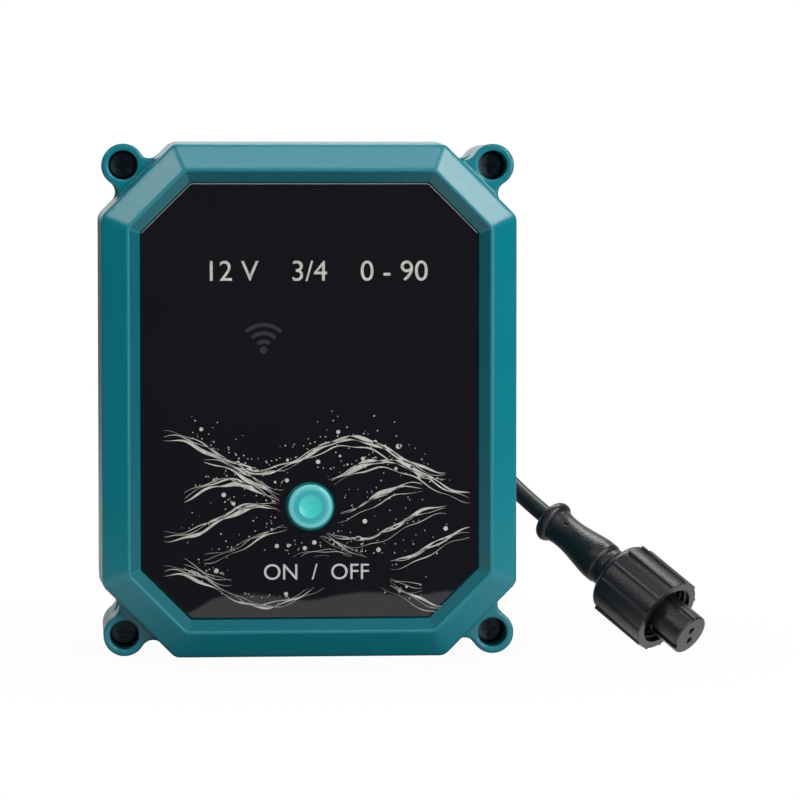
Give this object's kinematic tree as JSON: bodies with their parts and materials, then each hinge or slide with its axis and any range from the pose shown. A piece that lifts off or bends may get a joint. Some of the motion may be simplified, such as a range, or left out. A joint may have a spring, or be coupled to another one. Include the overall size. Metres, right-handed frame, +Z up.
{
  "type": "smart water valve",
  "caption": "Motorised quarter-turn ball valve with a sealed octagonal controller housing, a push button and a waterproof plug on a short cable.",
  "frame": {"origin": "middle of the footprint of housing and valve, on the surface that the housing stands on, with the free cable and its connector left out", "axes": "+Z up the face, +Y from the face to the valve behind, +X to the right of someone who looks at the face"},
  "size_m": [0.153, 0.0918, 0.1295],
  "materials": {
    "teal_abs": "moulded ABS, satin gloss",
    "black_panel": "black acrylic, polished",
    "adhesive": "acrylic foam tape",
    "button_plastic": "moulded, satin",
    "silicone": "moulded silicone",
    "steel": "plated steel",
    "stem_metal": "turned brass",
    "board": "glass-epoxy board",
    "can": "tinned shield can",
    "black_part": "moulded",
    "terminal_green": "moulded",
    "led_clear": "clear epoxy",
    "gear_pom": "moulded acetal",
    "valve_nylon": "glass-filled nylon",
    "seat_ptfe": "turned fluoropolymer",
    "gland_nylon": "moulded nylon",
    "cable_jacket": "extruded PVC",
    "connector_nylon": "moulded nylon"
  },
  "bodies": {
    "housing": {"front_cover": "teal_abs", "back_shell": "teal_abs", "cover_gasket": "silicone", "face_panel": "black_panel", "panel_adhesive": "adhesive", "cover_screws": "steel", "tact_switch": "black_part", "circuit_board": "board", "board_screws": "steel", "radio_module": "can", "signal_led": "led_clear", "motor_driver": "black_part", "power_terminal": "terminal_green", "smoothing_capacitor": "black_part", "supply_leads": "cable_jacket", "motor_leads": "cable_jacket", "sensor_board": "board", "idler_axles": "steel", "gearbox_plate": "steel", "plate_screws": "steel", "drive_motor": "steel", "motor_screws": "steel", "stem_bush": "gear_pom", "valve_body": "valve_nylon", "valve_gasket": "silicone", "end_fitting": "valve_nylon", "ball_seats": "seat_ptfe", "valve_screws": "steel", "cable_gland": "gland_nylon", "gland_locknut": "gland_nylon", "gland_seal": "silicone", "gland_nut": "gland_nylon", "cable": "cable_jacket", "connector_body": "connector_nylon", "connector_insert": "connector_nylon", "contact_sockets": "stem_metal", "insert_seal": "silicone"},
    "button": {"manual_button": "button_plastic", "button_seal": "silicone", "switch_plunger": "black_part"},
    "valve_drive": {"output_gear": "gear_pom", "position_magnets": "steel", "valve_stem": "stem_metal", "stem_o_rings": "silicone", "valve_ball": "seat_ptfe"},
    "second_idler": {"second_idler_gear": "gear_pom"},
    "first_idler": {"first_idler_gear": "gear_pom"},
    "motor_rotor": {"motor_pinion": "stem_metal", "motor_shaft": "steel"},
    "connector_nut": {"coupling_nut": "connector_nylon"}
  },
  "joints": [
    {"name": "button_press", "type": "slide", "parent": "housing", "child": "button", "axis": [0, 1, 0], "range_m": [0, 0.0008], "stiffness_N_per_m": 2500, "springref_m": -0.0002},
    {"name": "valve_turn", "type": "hinge", "parent": "housing", "child": "valve_drive", "pos_m": [0, -0.0005, 0.06475], "axis": [0, -1, 0], "range_deg": [0, 90]},
    {"name": "second_idler_spin", "type": "hinge", "parent": "housing", "child": "second_idler", "pos_m": [0.014, -0.0105, 0.089], "axis": [0, -1, 0], "range_deg": [-331, 0]},
    {"name": "first_idler_spin", "type": "hinge", "parent": "housing", "child": "first_idler", "pos_m": [-0.00631, -0.0145, 0.0935], "axis": [0, -1, 0], "range_deg": [0, 1101]},
    {"name": "motor_spin", "type": "hinge", "parent": "housing", "child": "motor_rotor", "pos_m": [-0.02091, -0.0165, 0.09899], "axis": [0, -1, 0], "range_deg": [-3668, 0]},
    {"name": "nut_spin", "type": "hinge", "parent": "housing", "child": "connector_nut", "pos_m": [0.08507, -0.02405, 0.0144], "axis": [0.6244, -0.5744, -0.5293], "continuous": true}
  ],
  "couplings": [
    {"joint": "second_idler_spin", "follows": "valve_turn", "ratio": -3.6667},
    {"joint": "first_idler_spin", "follows": "valve_turn", "ratio": 12.222},
    {"joint": "motor_spin", "follows": "valve_turn", "ratio": -40.741}
  ]
}
